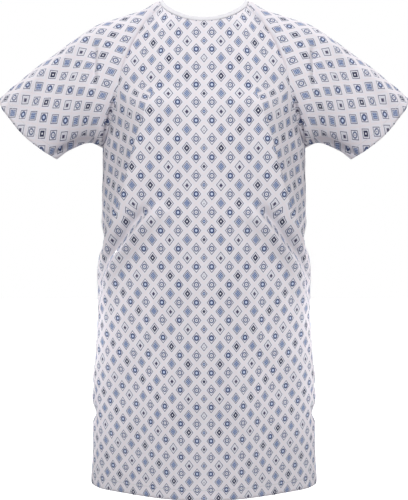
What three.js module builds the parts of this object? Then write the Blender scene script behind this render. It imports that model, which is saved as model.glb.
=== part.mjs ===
// A patient gown: raglan sleeves, round bound neck, open down the centre back, tied at neck and waist.
// Millimetres, +Z up. The front faces -Y and the wearer's left is +X.
// The origin is on the centre line at the height of the neck's side points, where the wearer holds it up.
// Every piece of cloth is a thin closed shell whose outer face lies on one smooth garment surface.

import * as THREE from 'three';

// Driving dimensions
const CLOTH = 2.4; // thickness of the solids that stand for cloth with its slack
const TRIM = 1.6; // thickness of hems, bindings and seam allowances
const GAP = 0.5; // clearance between neighbouring pieces
const HEM_Z = -1135;
const ARMPIT = new THREE.Vector3(239, 0, -353);
const SPLIT_Z = -394; // the back panels bend below this height, clear of the sleeves
const CHEST_DEPTH = 150; // from the side line forward, at armpit height
const BACK_DEPTH = 132; // from the side line back, at armpit height
const HEM_HALF_WIDTH = 265;
const HEM_FRONT_DEPTH = 195;
const HEM_BACK_DEPTH = 178;

const NECK_HALF_WIDTH = 97.6;
const NECK_FRONT_DEPTH = 88;
const NECK_BACK_DEPTH = 76;
const NECK_FRONT_DROP = 64;
const NECK_BACK_DROP = 28;
const BINDING_WIDTH = 9.5;
const PANEL_START = BINDING_WIDTH + 1.5; // distance from the neck edge to the top edges of the panels

const BACK_EDGE_TOP = 6; // half the back opening at the neck
const BACK_EDGE_HEM = 16; // and at the hem
const HEM_WIDTH = 22;
const EDGE_HEM_WIDTH = 18;
const SLEEVE_HEM_WIDTH = 20;
const TIE_WIDTH = 12;
const TIE_LENGTH = 310;
const WAIST_Z = -572;

const FRONT_SEAM_TURN = THREE.MathUtils.degToRad(75); // place of the raglan seams on the neck edge,
const BACK_SEAM_TURN = THREE.MathUtils.degToRad(124); // turned from the centre front

const lerp = THREE.MathUtils.lerp;
const clamp = THREE.MathUtils.clamp;
const vec = (x, y, z) => new THREE.Vector3(x, y, z);
const mix = (a, b, t) => a.clone().lerp(b, t);

// ---------------------------------------------------------------- the garment surface

// The neck edge, turned from 0 at the centre front to pi at the centre back, and lines below it.
function neckPoint(turn, below) {
  const c = Math.cos(turn);
  const front = c > 0;
  const depth = front ? NECK_FRONT_DEPTH : NECK_BACK_DEPTH;
  const drop = front ? NECK_FRONT_DROP : NECK_BACK_DROP;
  const lean = Math.abs(c);
  return vec(
    (NECK_HALF_WIDTH + 0.88 * below) * Math.sin(turn),
    -(depth + 0.5 * below) * c,
    -drop * lean ** 1.3 - below * (0.47 + 0.4 * lean),
  );
}

const curve = (points) => new THREE.CatmullRomCurve3(points, false, 'centripetal');

const neckSide = neckPoint(Math.PI / 2, PANEL_START);
const shoulderLine = curve([neckSide, vec(145, 0, -25), vec(190, 0, -40), vec(240, 0, -59)]);
const frontRaglan = curve([
  neckPoint(FRONT_SEAM_TURN, PANEL_START), vec(146, -56, -82), vec(187, -85, -180), vec(207, -72, -268), ARMPIT,
]);
const backRaglan = curve([
  neckPoint(BACK_SEAM_TURN, PANEL_START), vec(140, 62, -82), vec(185, 86, -180), vec(207, 72, -268), ARMPIT,
]);
const sleeveTop = curve([
  vec(240, 0, -59), vec(300, 0, -94), vec(372, 0, -144.5), vec(430, 0, -190), vec(485.5, 0, -234),
]);
const sleeveUnder = curve([
  ARMPIT, vec(257, 0, -343), vec(275, 0, -339), vec(315, 0, -355), vec(349.6, 0, -379),
]);
const SLEEVE_DEPTH = 86; // half the depth of the sleeve at the armhole
const SLEEVE_HEM_DEPTH = 56;
const SLEEVE_HEM_BULGE = 16;

// A torso row runs across the body. v is 0 at the neck, 1 at the armpit and 2 at the hem.
function torsoRow(v, back) {
  if (v <= 1) {
    const end = (back ? backRaglan : frontRaglan).getPoint(v);
    const neck = neckPoint(back ? Math.PI : 0, PANEL_START);
    const depth = lerp(Math.abs(neck.y), back ? BACK_DEPTH : CHEST_DEPTH, v ** 0.8);
    const mid = vec(0, back ? depth : -depth, lerp(neck.z, ARMPIT.z, v));
    const atNeck = back ? Math.PI - BACK_SEAM_TURN : FRONT_SEAM_TURN;
    const spread = lerp(atNeck, Math.PI / 2, v) - 0.35 * Math.sin(Math.PI * v);
    return { end, mid, spread };
  }
  const down = v - 1;
  const z = lerp(ARMPIT.z, HEM_Z, down);
  const halfWidth = lerp(ARMPIT.x, HEM_HALF_WIDTH, down); // a straight side seam, to turn about
  const depth = back ? lerp(BACK_DEPTH, HEM_BACK_DEPTH, down) : -lerp(CHEST_DEPTH, HEM_FRONT_DEPTH, down);
  return { end: vec(halfWidth, 0, z), mid: vec(0, depth, z), spread: Math.PI / 2 };
}

// across is -1 at the wearer's right seam, 0 on the centre line and 1 at the left seam.
function torsoPoint(v, across, back) {
  const { end, mid, spread } = torsoRow(v, back);
  const turn = across * spread;
  const towardsMid = (Math.cos(turn) - Math.cos(spread)) / (1 - Math.cos(spread));
  return vec(
    (end.x * Math.sin(turn)) / Math.sin(spread),
    lerp(end.y, mid.y, towardsMid),
    lerp(end.z, mid.z, towardsMid),
  );
}

// The back panel's free edge opens slightly towards the hem.
function backEdgeAcross(v) {
  const { end, mid, spread } = torsoRow(v, true);
  const height = clamp(mid.z / HEM_Z, 0, 1);
  const edge = lerp(BACK_EDGE_TOP, BACK_EDGE_HEM, height);
  return Math.asin((edge * Math.sin(spread)) / end.x) / spread;
}

// The sleeve over the shoulder. v is 0 at the neck and 1 at the armhole; round is -1 at the front
// seam, 0 on top and 1 at the back seam.
function shoulderPoint(v, round) {
  const top = shoulderLine.getPoint(v);
  const seam = (round < 0 ? frontRaglan : backRaglan).getPoint(v);
  const reach = Math.abs(seam.y);
  const past = v > 0.5;
  const depth = past ? Math.max(SLEEVE_DEPTH, reach) : reach;
  const full = past ? Math.PI - Math.asin(clamp(reach / depth, 0, 1)) : Math.PI / 2;
  const turn = Math.abs(round) * full;
  const down = (1 - Math.cos(turn)) / (1 - Math.cos(full));
  return vec(
    lerp(top.x, seam.x, down),
    Math.sign(round) * depth * Math.sin(turn),
    lerp(top.z, seam.z, down),
  );
}

// The sleeve past the armhole. along is 0 at the armhole and 1 at the hem; turn is 0 on top.
function sleevePoint(along, turn) {
  const top = sleeveTop.getPoint(along);
  const under = sleeveUnder.getPoint(along);
  const centre = mix(top, under, 0.5);
  const slip = 1 - 0.07 * (1 - along) ** 2; // the start lies just inside the shoulder piece
  const up = top.clone().sub(centre).multiplyScalar(slip * Math.cos(turn));
  const depth = lerp(SLEEVE_DEPTH, SLEEVE_HEM_DEPTH, along) * slip * Math.sin(turn);
  const outward = vec(top.z - under.z, 0, under.x - top.x).normalize();
  const bulge = SLEEVE_HEM_BULGE * along * Math.sin(turn) ** 2;
  return centre.add(up).add(vec(0, depth, 0)).addScaledVector(outward, bulge);
}

// ---------------------------------------------------------------- solids

// A closed body from its points and triangles, turned so that its faces point out.
function body(points, index) {
  let volume = 0;
  for (let i = 0; i < index.length; i += 3) {
    const [a, b, c] = [points[index[i]], points[index[i + 1]], points[index[i + 2]]];
    volume += a.dot(b.clone().cross(c));
  }
  const geometry = new THREE.BufferGeometry();
  geometry.setAttribute('position', new THREE.Float32BufferAttribute(points.flatMap((p) => p.toArray()), 3));
  geometry.setIndex(volume > 0 ? index : index.toReversed());
  return geometry;
}

// A closed shell from a surface(u, v), u and v in 0..1: the outer face lies inset below the surface
// and the inner face a thickness further in. facing says which side of the surface is outside.
function shell(surface, columns, rows, { facing = 1, thickness = CLOTH, inset = 0, tube = false } = {}) {
  const step = 1e-3;
  const perRow = tube ? columns : columns + 1;
  const outer = [];
  const inner = [];
  for (let j = 0; j <= rows; j++) {
    for (let i = 0; i < perRow; i++) {
      const u = i / columns;
      const v = j / rows;
      const before = tube ? u - step : Math.max(u - step, 0);
      const after = tube ? u + step : Math.min(u + step, 1);
      const alongU = surface(after, v).sub(surface(before, v));
      const alongV = surface(u, Math.min(v + step, 1)).sub(surface(u, Math.max(v - step, 0)));
      const outward = alongU.cross(alongV).normalize().multiplyScalar(facing);
      outer.push(surface(u, v).addScaledVector(outward, -inset));
      inner.push(surface(u, v).addScaledVector(outward, -inset - thickness));
    }
  }
  const at = (i, j, side) => side * outer.length + j * perRow + (i % perRow);
  const index = [];
  const quad = (a, b, c, d) => index.push(a, b, c, a, c, d);
  for (let j = 0; j < rows; j++) {
    for (let i = 0; i < columns; i++) {
      quad(at(i, j, 0), at(i + 1, j, 0), at(i + 1, j + 1, 0), at(i, j + 1, 0));
      quad(at(i, j, 1), at(i, j + 1, 1), at(i + 1, j + 1, 1), at(i + 1, j, 1));
    }
    if (!tube) {
      quad(at(0, j, 0), at(0, j + 1, 0), at(0, j + 1, 1), at(0, j, 1));
      quad(at(columns, j, 0), at(columns, j, 1), at(columns, j + 1, 1), at(columns, j + 1, 0));
    }
  }
  for (let i = 0; i < columns; i++) {
    quad(at(i, 0, 0), at(i, 0, 1), at(i + 1, 0, 1), at(i + 1, 0, 0));
    quad(at(i, rows, 0), at(i + 1, rows, 0), at(i + 1, rows, 1), at(i, rows, 1));
  }
  return body([...outer, ...inner], index);
}

// A flat strip along a path(t), its width and thickness laid along two directions given for each t.
function strip(path, widthWay, thickWay, width, thickness, steps) {
  const corners = [[-0.5, -0.5], [0.5, -0.5], [0.5, 0.5], [-0.5, 0.5]];
  const points = [];
  const index = [];
  for (let j = 0; j <= steps; j++) {
    const t = j / steps;
    for (const [w, d] of corners) {
      points.push(path(t).addScaledVector(widthWay(t), w * width).addScaledVector(thickWay(t), d * thickness));
    }
  }
  for (let j = 0; j < steps; j++) {
    for (let i = 0; i < 4; i++) {
      const a = 4 * j + i;
      const b = 4 * j + ((i + 1) % 4);
      index.push(a, b, b + 4, a, b + 4, a + 4);
    }
  }
  const last = 4 * steps;
  index.push(0, 2, 1, 0, 3, 2, last, last + 1, last + 2, last, last + 2, last + 3);
  return body(points, index);
}

const PRINTED = new THREE.Color(0xdcdce8);
const PLAIN = new THREE.Color(0xe4e4ec);
const gown = new THREE.Group();

function add(name, geometry, colour = PRINTED) {
  const material = new THREE.MeshStandardMaterial({ color: colour, roughness: 0.9, metalness: 0 });
  const mesh = new THREE.Mesh(geometry, material);
  mesh.name = name;
  gown.add(mesh);
}

// ---------------------------------------------------------------- front panel and neck

const BODY_LENGTH = ARMPIT.z - HEM_Z;
const SEAM_FREE = 0.008; // share of a row left free beside a seam
const BEHIND_CLOTH = { thickness: TRIM, inset: CLOTH + GAP };
const fromHem = (distance) => 2 - distance / BODY_LENGTH;
const hemRow = (v) => lerp(fromHem(HEM_WIDTH), fromHem(1), v);

const acrossFront = (u) => lerp(-1 + SEAM_FREE, 1 - SEAM_FREE, u);

add('front_panel', shell((u, v) => torsoPoint(2 * v, acrossFront(u), false), 20, 22, { facing: -1 }));
add('front_hem', shell(
  (u, v) => torsoPoint(hemRow(v), acrossFront(u), false),
  20, 1, { facing: -1, ...BEHIND_CLOTH },
));

const bindingEnd = Math.PI - BACK_EDGE_TOP / NECK_HALF_WIDTH;
add('neck_binding', shell(
  (u, v) => neckPoint(lerp(-bindingEnd, bindingEnd, u), lerp(0, BINDING_WIDTH, v)),
  48, 1, { facing: -1, thickness: CLOTH + GAP },
), PLAIN);

// ---------------------------------------------------------------- pieces on both sides

const TIE_STAND_OFF = 3.5; // from the back panel's face to the middle of a tie
const NECK_TIE_Z = -44;
const backNeckZ = neckPoint(Math.PI, PANEL_START).z;
const backRowAt = (z) => (
  z > ARMPIT.z ? (backNeckZ - z) / (backNeckZ - ARMPIT.z) : 1 + (ARMPIT.z - z) / BODY_LENGTH
);
const splitV = backRowAt(SPLIT_Z);
const SPLIT_FREE = 2 / BODY_LENGTH;
const BACK_COLUMNS = 10;
const SEAM_ALLOWANCE = 7;
const SEAM_DEPTH = 5; // how far inside the garment surface a seam allowance lies

function addSide(name, side) {
  const place = (surface) => (u, v) => {
    const point = surface(u, v);
    point.x *= side;
    return point;
  };
  const outside = { facing: side };
  const onTop = { facing: -side };

  // Back panel: the upper part stays with the shoulders, the lower part swings from the side seam.
  const panelPoint = (row, u) => torsoPoint(row, lerp(backEdgeAcross(row), 1 - SEAM_FREE, u), true);
  const backPanel = (fromV, toV) => place((u, v) => panelPoint(lerp(fromV, toV, v), u));
  const edgeHem = (fromV, toV) => place((u, v) => {
    const row = lerp(fromV, toV, v);
    const edge = panelPoint(row, 0);
    const inside = panelPoint(row, 1 / BACK_COLUMNS).sub(edge);
    return edge.addScaledVector(inside, (lerp(0.05, 1, u) * EDGE_HEM_WIDTH) / inside.length());
  });
  const upper = [0, splitV - SPLIT_FREE];
  const lower = [splitV, 2];
  add(`back_panel_upper_${name}`, shell(backPanel(...upper), BACK_COLUMNS, 11, outside));
  add(`back_panel_lower_${name}`, shell(backPanel(...lower), BACK_COLUMNS, 12, outside));
  add(`back_edge_hem_upper_${name}`, shell(edgeHem(...upper), 1, 11, { ...outside, ...BEHIND_CLOTH }));
  add(`back_edge_hem_lower_${name}`, shell(
    edgeHem(splitV, fromHem(HEM_WIDTH + 2)), 1, 12, { ...outside, ...BEHIND_CLOTH },
  ));
  add(`back_hem_${name}`, shell(
    place((u, v) => panelPoint(hemRow(v), u)), BACK_COLUMNS, 1, { ...outside, ...BEHIND_CLOTH },
  ));

  // Sleeve: one piece of cloth, which bends at the armhole.
  add(`sleeve_upper_${name}`, shell(
    place((u, v) => shoulderPoint(v, lerp(-1 + 2 * SEAM_FREE, 1 - 2 * SEAM_FREE, u))),
    18, 8, onTop,
  ));
  const ring = (u) => 2 * Math.PI * u;
  const SLEEVE_START = 0.012;
  add(`sleeve_lower_${name}`, shell(
    place((u, v) => sleevePoint(lerp(SLEEVE_START, 1, v), ring(u))),
    24, 7, { ...onTop, tube: true },
  ));
  const hemShare = SLEEVE_HEM_WIDTH / sleeveTop.getLength();
  add(`sleeve_hem_${name}`, shell(
    place((u, v) => sleevePoint(lerp(1 - hemShare, 0.997, v), ring(u))),
    24, 1, { ...onTop, thickness: TRIM, inset: CLOTH + 2 * GAP, tube: true },
  ));

  // Seam allowances inside the raglan seams and the side seam.
  for (const [face, line, back] of [['front', frontRaglan, false], ['back', backRaglan, true]]) {
    const along = (t) => lerp(0.03, 0.9, t);
    const inward = (t) => {
      const row = torsoRow(along(t), back);
      const centre = vec(0.35 * row.end.x, 0, row.end.z - 40);
      const way = centre.sub(line.getPoint(along(t))).normalize();
      return vec(way.x * side, way.y, way.z);
    };
    const path = (t) => {
      const point = line.getPoint(along(t));
      return vec(point.x * side, point.y, point.z).addScaledVector(inward(t), SEAM_DEPTH + SEAM_ALLOWANCE / 2);
    };
    const sideways = (t) => {
      const tangent = line.getTangent(along(t));
      return vec(tangent.x * side, tangent.y, tangent.z).cross(inward(t)).normalize();
    };
    add(`raglan_seam_${face}_${name}`, strip(path, inward, sideways, SEAM_ALLOWANCE, TRIM, 12));
  }
  const seamRow = (t) => torsoRow(lerp(1.02, fromHem(HEM_WIDTH + 3), t), false).end;
  add(`side_seam_${name}`, strip(
    (t) => vec(side * (seamRow(t).x - CLOTH - 1 - SEAM_ALLOWANCE / 2), 0, seamRow(t).z),
    () => vec(1, 0, 0), () => vec(0, 1, 0), SEAM_ALLOWANCE, TRIM, 12,
  ));

  // Ties: flat tapes that hang from the back edges at the neck and the waist.
  const tie = (anchorZ, x) => strip(
    (t) => {
      const z = anchorZ - TIE_LENGTH * t;
      return vec(side * (x + 6 * t), torsoRow(backRowAt(z), true).mid.y + TIE_STAND_OFF, z);
    },
    () => vec(1, 0, 0), () => vec(0, 1, 0), TIE_WIDTH, TRIM, 12,
  );
  add(`neck_tie_${name}`, tie(NECK_TIE_Z, 20), PLAIN);
  add(`waist_tie_${name}`, tie(WAIST_Z, 26), PLAIN);
}

addSide('left', 1);
addSide('right', -1);

export default gown;
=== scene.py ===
import math

import bpy
import numpy as np
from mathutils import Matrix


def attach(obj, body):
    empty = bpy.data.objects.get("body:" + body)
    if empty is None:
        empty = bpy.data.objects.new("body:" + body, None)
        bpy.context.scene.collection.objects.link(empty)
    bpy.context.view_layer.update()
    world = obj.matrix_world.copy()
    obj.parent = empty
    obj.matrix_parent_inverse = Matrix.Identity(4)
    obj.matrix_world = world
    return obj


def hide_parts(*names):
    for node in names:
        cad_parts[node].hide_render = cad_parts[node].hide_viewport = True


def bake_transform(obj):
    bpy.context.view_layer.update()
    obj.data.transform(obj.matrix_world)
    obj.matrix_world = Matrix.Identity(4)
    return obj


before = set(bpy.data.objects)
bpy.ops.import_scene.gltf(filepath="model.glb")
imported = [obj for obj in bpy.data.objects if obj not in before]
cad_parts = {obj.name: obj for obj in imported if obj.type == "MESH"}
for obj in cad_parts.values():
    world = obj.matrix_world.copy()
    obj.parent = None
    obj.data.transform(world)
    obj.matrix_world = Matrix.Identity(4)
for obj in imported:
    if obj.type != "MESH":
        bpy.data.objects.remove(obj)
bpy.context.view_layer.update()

# A patient gown in metres, +Z up. The front faces -Y and the wearer's left is +X.

# The garment's smooth shape, the same as the CAD's.
HEM_Z = -1.135
ARMPIT = np.array([0.239, 0.0, -0.353])
CHEST_DEPTH = 0.150
BACK_DEPTH = 0.132
DEPTH_CURVE = 0.8  # how early the body deepens below the neck
ROW_FLATTENING = 0.35  # rows halfway down to the armpit turn by this much less, in radians
HEM_HALF_WIDTH = 0.265
HEM_FRONT_DEPTH = 0.195
HEM_BACK_DEPTH = 0.178
NECK_HALF_WIDTH = 0.0976
NECK_FRONT_DEPTH = 0.088
NECK_BACK_DEPTH = 0.076
NECK_FRONT_DROP = 0.064
NECK_BACK_DROP = 0.028
NECK_CURVE = 1.3  # how late the neck edge dips towards the centre line
BINDING_WIDTH = 0.0095
BINDING_OUT = 0.88  # a line below the neck edge goes out by this share of its distance at the shoulders,
BINDING_FORWARD = 0.5  # forward or back by this share on the centre line,
BINDING_DOWN = 0.47  # down by this share at the shoulders
BINDING_DOWN_MORE = 0.4  # and by this much more on the centre line
FRONT_SEAM_TURN = math.radians(75)
BACK_SEAM_TURN = math.radians(124)
BACK_EDGE_TOP = 0.006
BACK_EDGE_HEM = 0.016
SLEEVE_DEPTH = 0.086
SLEEVE_HEM_DEPTH = 0.056
SLEEVE_HEM_BULGE = 0.016
WAIST_Z = -0.572

# The cloth and the grids it is built on.
CLOTH = 0.0006  # thickness
TOP_ROWS = 56  # grid rows from the neck to the armpit
LOW_ROWS = 142  # and from the armpit to the hem
FRONT_COLUMNS = 128  # from the centre front to a side seam
BACK_COLUMNS = 64  # from a back edge to a side seam
ROUND_COLUMNS = 72  # from a raglan seam to the top of the shoulder
SLEEVE_ROWS = 56  # from the armhole to the sleeve hem

# Hems.
HEM_WIDTH = 0.022
HEM_ROWS = 4  # grid rows of the bottom hem
EDGE_HEM_WIDTH = 0.018
EDGE_HEM_COLUMNS = 5
SLEEVE_HEM_WIDTH = 0.020
SLEEVE_HEM_ROWS = 5
HEM_RADIUS = 0.0009  # of the turn at a hem's edge
HEM_TURN_ROWS = 5

# Binding.
BINDING_COLUMNS = 200
BINDING_SIDE_ROWS = 8
BINDING_EDGE_ROWS = 5
BINDING_RADIUS = 0.0010  # half the thickness of the folded binding
BINDING_OVERLAP = 0.001  # it reaches this far over the cloth
BINDING_PRESSED = 0.35  # share of the thickness left where its lower edges are pressed flat
BINDING_PRESSED_LENGTH = 0.002
BINDING_STITCH = 0.0022  # its stitch line, in from its lower edge
BINDING_CLOTH = 0.0004  # thickness
PUCKER = 0.00025  # its outer face is puckered a little
PUCKERS_PER_TURN = 61

# Seams, stitches and ties.
SEAM_START = 0.0008  # a seam allowance stands in from its seam, from here
SEAM_END = 0.0088  # to here
SEAM_THICKNESS = 0.0013
SEAM_WAVE = 0.0006  # it waves a little along its length
SEAM_WAVE_LENGTH = 0.023
STITCH = 0.0032  # length
THREAD_HALF_WIDTH = 0.00045
NEEDLE_HOLE = 0.0006
TIE_WIDTH = 0.012
TIE_LENGTH = 0.310
TIE_THICKNESS = 0.0008
TIE_LIFT = 0.0022  # a tie hangs twice this far off the cloth
TIE_SEWN_LIFT = 0.0012  # and lies this far off it where it is sewn on
TIE_STITCHED_AT = 0.007  # two stitch lines lie on both sides of here,
TIE_STITCHED_HALF = 0.0045  # this far from it
NECK_TIE_Z = -0.044
NECK_TIE_IN = 0.020  # from the centre line
WAIST_TIE_IN = 0.026

# The print: a lattice of small outlined diamonds.
PRINT_ACROSS = 0.0413  # from one diamond to the next in its row
PRINT_DOWN = 0.0413  # and in its column
PRINT_SIZE = np.array([PRINT_ACROSS, PRINT_DOWN])
OUTLINE_HALF_WIDTH = 0.0102
OUTLINE_HALF_HEIGHT = 0.0130
OUTLINE_HALF_LINE = 0.092  # this and the sizes below are shares of the outline
HALO_SIZE = 0.97
CHECK_SIZE = 0.72
CHECK_LINE_SIZE = 0.74
PANE = 0.44  # side of a pane in the checked motif
PANE_HALF_LINE = 0.080
DOT_SIZE = 0.42
DOT_FRAME_SIZE = 0.62
DOT_DROP = 0.08
SQUARE_SIZE = 0.68
SQUARE_HOLE_SIZE = 0.20
THICK_RING = 0.0046  # the radii and widths of the rings are in metres
THICK_RING_HALF_LINE = 0.0018
THICK_RING_FILL = 0.0040
THIN_RING = 0.0049
THIN_RING_HALF_LINE = 0.0014
THIN_RING_DOT = 0.0015
RING_SOFT = 0.0006
RING_SQUASH = 0.85  # makes the rings a little taller than wide

# How the print lies on the pieces.
FRONT_PRINT_SHIFT = np.array([0.073, 1.037])
BACK_PRINT_SHIFT = np.array([0.35, 0.2])
SLEEVE_PRINT_SHIFT = np.array([0.054, -0.61])
FINER_FROM = 0.20  # below this distance down the cloth the print grows finer,
FINER_OVER = 0.85  # and after this much more
FINER_BY = 0.18  # it is finer by this share
ARMPIT_TURN = math.radians(21)  # the print beyond the chest fold is turned about the armpit
ARMPIT_PIVOT = np.array([0.195, 0.250])
ARMPIT_PRINT_TOP = -0.215  # between these heights,
ARMPIT_PRINT_BOTTOM = -0.585
ARMPIT_PRINT_FADE = 0.06  # fading in over this height at the top
ARMPIT_PRINT_STEP = 0.004  # and over this one at the bottom,
ARMPIT_PRINT_START = 0.003  # from this far beyond the fold and over this width
SLEEVE_GRAIN = math.radians(26)  # the sleeve's grain runs down by this much

# Folds of the front.
LIP_FORWARD = 0.030  # the chest fold stands this far forward,
LIP_LEAN = 0.065  # leans out over this width before its edge
LIP_RECOVER = 0.095  # and goes back over this width beyond it
LIP_REACH = 0.009  # its edge reaches this far over the cloth beyond
LIP_REACH_RUN = 0.060  # building up over this width before it
LIP_FALL = 0.008  # and falling back over this one
LIP_DEPTH = 0.020  # the cloth beyond lies this far back
LIP_DEPTH_RUN = 0.06  # for this width
LIP_DEPTH_RECOVER = 0.05  # and comes forward again over this one
ROLL_HEIGHT = 0.020  # the waist fold stands this far forward,
ROLL_WIDTH = 0.040  # rises over this width before its edge,
ROLL_FALL = 0.020  # falls over this width beyond its edge
ROLL_DEPTH = 0.012  # to this far behind the smooth shape
ROLL_RECOVER = 0.036  # and comes back over this width
FOLD_FADE = 0.03  # both fade out this near to a seam
RAGLAN_FADE = 0.022  # and every other fold this near to a raglan seam
NECK_FADE = 0.06  # and over this share of the way from the neck to the armpit
HEM_FOLDS_TOP = -0.62
HEM_FOLDS_FADE = 0.35
HEM_FOLDS = ((0, 0.010, 0.075), (0.155, -0.009, 0.060), (0.275, 0.006, 0.045))  # middle, height and width

# Folds of the sides: their height on the body, how far they stand out, and how tall and wide they are.
SIDE_SWELLS = (
    (WAIST_Z, -0.011, 0.026, 0.060),
    (-0.655, 0.004, 0.050, 0.070),
    (-0.978, -0.008, 0.017, 0.055),
    (-0.900, 0.004, 0.030, 0.060),
)
CRUMPLE_Z = -0.955
CRUMPLE_HEIGHT = 0.0042
CRUMPLE_SPACING = 0.062
CRUMPLE_LEAN = 0.30  # their slope
CRUMPLE_PHASE = 1.9
SEAM_MATCH = 0.035  # the back panel is drawn to the front's side seam over about this width

# Folds of the back.
BACK_FOLDS_TOP = -0.30
BACK_FOLDS_FADE = 0.5
BACK_FOLD_HEIGHT = 0.007
BACK_FOLD_SPACING = 0.155
BACK_FOLD_FADE = 0.06  # they fade out this near to the side seam
DRAG_HEIGHT = 0.005  # of the drag lines that fan out from the waist ties
DRAG_START = 0.02  # from the back edge
DRAG_SLOPE = 0.9
DRAG_WIDTH = 0.018
DRAG_REACH = 0.16

# Folds of the sleeves and the small creases everywhere.
SLEEVE_RIDGE_X = (0.235, 0.276, 0.334, 0.394, 0.455, 0.490)
SLEEVE_RIDGE_Z = (-0.085, -0.112, -0.159, -0.210, -0.262, -0.290)
RIDGE_HEIGHT = 0.007
RIDGE_VALLEY = 0.004  # depth of the valley below it,
RIDGE_VALLEY_DOWN = 0.040  # this far down from its line
SHOULDER_CREASE = 0.011  # depth of the upright crease below the shoulder
SHOULDER_CREASE_X = 0.254
ARMPIT_CREASE = 0.012  # depth of the crease beside the raglan seam
ARMPIT_CREASE_IN = 0.020  # from the front raglan seam
BODY_WRINKLES = 0.0015
SLEEVE_WRINKLES = 0.0012
WRINKLE_LENGTHS = (0.21, 0.13, 0.085, 0.055)

# Camera, lights and floor.
CAMERA_DISTANCE = 2.10
VIEW_HEIGHT = 1.190
SENSOR_HEIGHT = 24  # millimetres
ROOM_LIGHT = 0.30
BACKDROP = 1.0
KEY_POWER = 64
RIM_POWER = 38
REAR_POWER = 26
LOW_Y = 0.5
LOW_Z = -0.79
LOW_POWER = 0.38
LOW_SPREAD = math.radians(12)  # a narrow beam along the lower side
FLOOR_HALF = 12
FLOOR_DROP = 0.25  # below the hem

# The body that the body pieces are attached to, and the two sides.
SHOULDERS = "shoulders"
SIDES = (("left", 1), ("right", -1))
BEND_START = 0.240  # a sleeve bend would begin at this distance from the middle; it is worked out but not used
BEND_END = 0.350  # and end at this one


# ---------- small maths

def mix(a, b, t):
    return a + (b - a) * t


def smooth(t):
    t = np.clip(t, 0, 1)
    return t * t * (3 - 2 * t)


def bell(x, width):
    return np.exp(-((x / width) ** 2))


def points(*axes):
    """A grid of points, or of flat places, from the grids of its two or three axes."""
    return np.stack(np.broadcast_arrays(*axes), axis=-1).astype(float)


def unit(vectors):
    return vectors / np.linalg.norm(vectors, axis=-1, keepdims=True)


class Curve:
    """A centripetal Catmull-Rom curve through a few points; t runs evenly from point to point."""

    def __init__(self, *through):
        p = np.array(through, float)
        self.p = np.vstack([2 * p[0] - p[1], p, 2 * p[-1] - p[-2]])
        steps = np.linalg.norm(np.diff(self.p, axis=0), axis=1) ** 0.5
        self.knots = np.concatenate([[0], np.cumsum(steps)])

    def __call__(self, t):
        t = np.asarray(t, float)
        spans = len(self.p) - 3
        i = np.clip((t * spans).astype(int), 0, spans - 1)
        k = [self.knots[i + n] for n in range(4)]
        q = [self.p[i + n] for n in range(4)]
        s = k[1] + (t * spans - i) * (k[2] - k[1])

        def between(a, b, lo, hi):
            w = ((s - lo) / (hi - lo))[..., None]
            return a * (1 - w) + b * w

        a = [between(q[n], q[n + 1], k[n], k[n + 1]) for n in range(3)]
        b = [between(a[n], a[n + 1], k[n], k[n + 2]) for n in range(2)]
        return between(b[0], b[1], k[1], k[2])


# ---------- the garment's smooth shape

def neck_point(turn, below):
    """The neck edge and lines below it, turned from 0 at the centre front to pi at the centre back."""
    turn = np.asarray(turn, float)
    c = np.cos(turn)
    depth = np.where(c > 0, NECK_FRONT_DEPTH, NECK_BACK_DEPTH)
    drop = np.where(c > 0, NECK_FRONT_DROP, NECK_BACK_DROP)
    lean = np.abs(c)
    return points(
        (NECK_HALF_WIDTH + BINDING_OUT * below) * np.sin(turn),
        -(depth + BINDING_FORWARD * below) * c,
        -drop * lean**NECK_CURVE - below * (BINDING_DOWN + BINDING_DOWN_MORE * lean),
    )


shoulder_line = Curve(
    neck_point(math.pi / 2, BINDING_WIDTH), (0.145, 0, -0.025), (0.190, 0, -0.040), (0.240, 0, -0.059),
)
front_raglan = Curve(
    neck_point(FRONT_SEAM_TURN, BINDING_WIDTH), (0.146, -0.056, -0.082), (0.187, -0.085, -0.180),
    (0.207, -0.072, -0.268), ARMPIT,
)
back_raglan = Curve(
    neck_point(BACK_SEAM_TURN, BINDING_WIDTH), (0.140, 0.062, -0.082), (0.185, 0.086, -0.180),
    (0.207, 0.072, -0.268), ARMPIT,
)
sleeve_top = Curve(
    (0.240, 0, -0.059), (0.300, 0, -0.094), (0.372, 0, -0.1445), (0.430, 0, -0.190), (0.4855, 0, -0.234),
)
sleeve_under = Curve(
    ARMPIT, (0.257, 0, -0.343), (0.275, 0, -0.339), (0.315, 0, -0.355), (0.3496, 0, -0.379),
)


def torso_row(v, back):
    """The left end and the middle of a row across the body, and how far the row turns between them.

    v is 0 at the neck, 1 at the armpit and 2 at the hem.
    """
    v = np.asarray(v, float)
    top = np.clip(v, 0, 1)
    down = np.clip(v - 1, 0, 1)
    end = (back_raglan if back else front_raglan)(top)
    neck = neck_point(math.pi if back else 0, BINDING_WIDTH)
    sign = 1 if back else -1
    depth = mix(abs(neck[1]), BACK_DEPTH if back else CHEST_DEPTH, top**DEPTH_CURVE)
    hem_depth = HEM_BACK_DEPTH if back else HEM_FRONT_DEPTH
    depth = mix(depth, hem_depth, down)
    z = mix(mix(neck[2], ARMPIT[2], top), HEM_Z, down)
    end[..., 0] = np.where(v > 1, mix(ARMPIT[0], HEM_HALF_WIDTH, down), end[..., 0])
    end[..., 2] = np.where(v > 1, z, end[..., 2])
    mid = points(0, sign * depth, z)
    at_neck = math.pi - BACK_SEAM_TURN if back else FRONT_SEAM_TURN
    spread = mix(at_neck, math.pi / 2, top) - ROW_FLATTENING * np.sin(math.pi * top)
    return end, mid, spread


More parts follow.
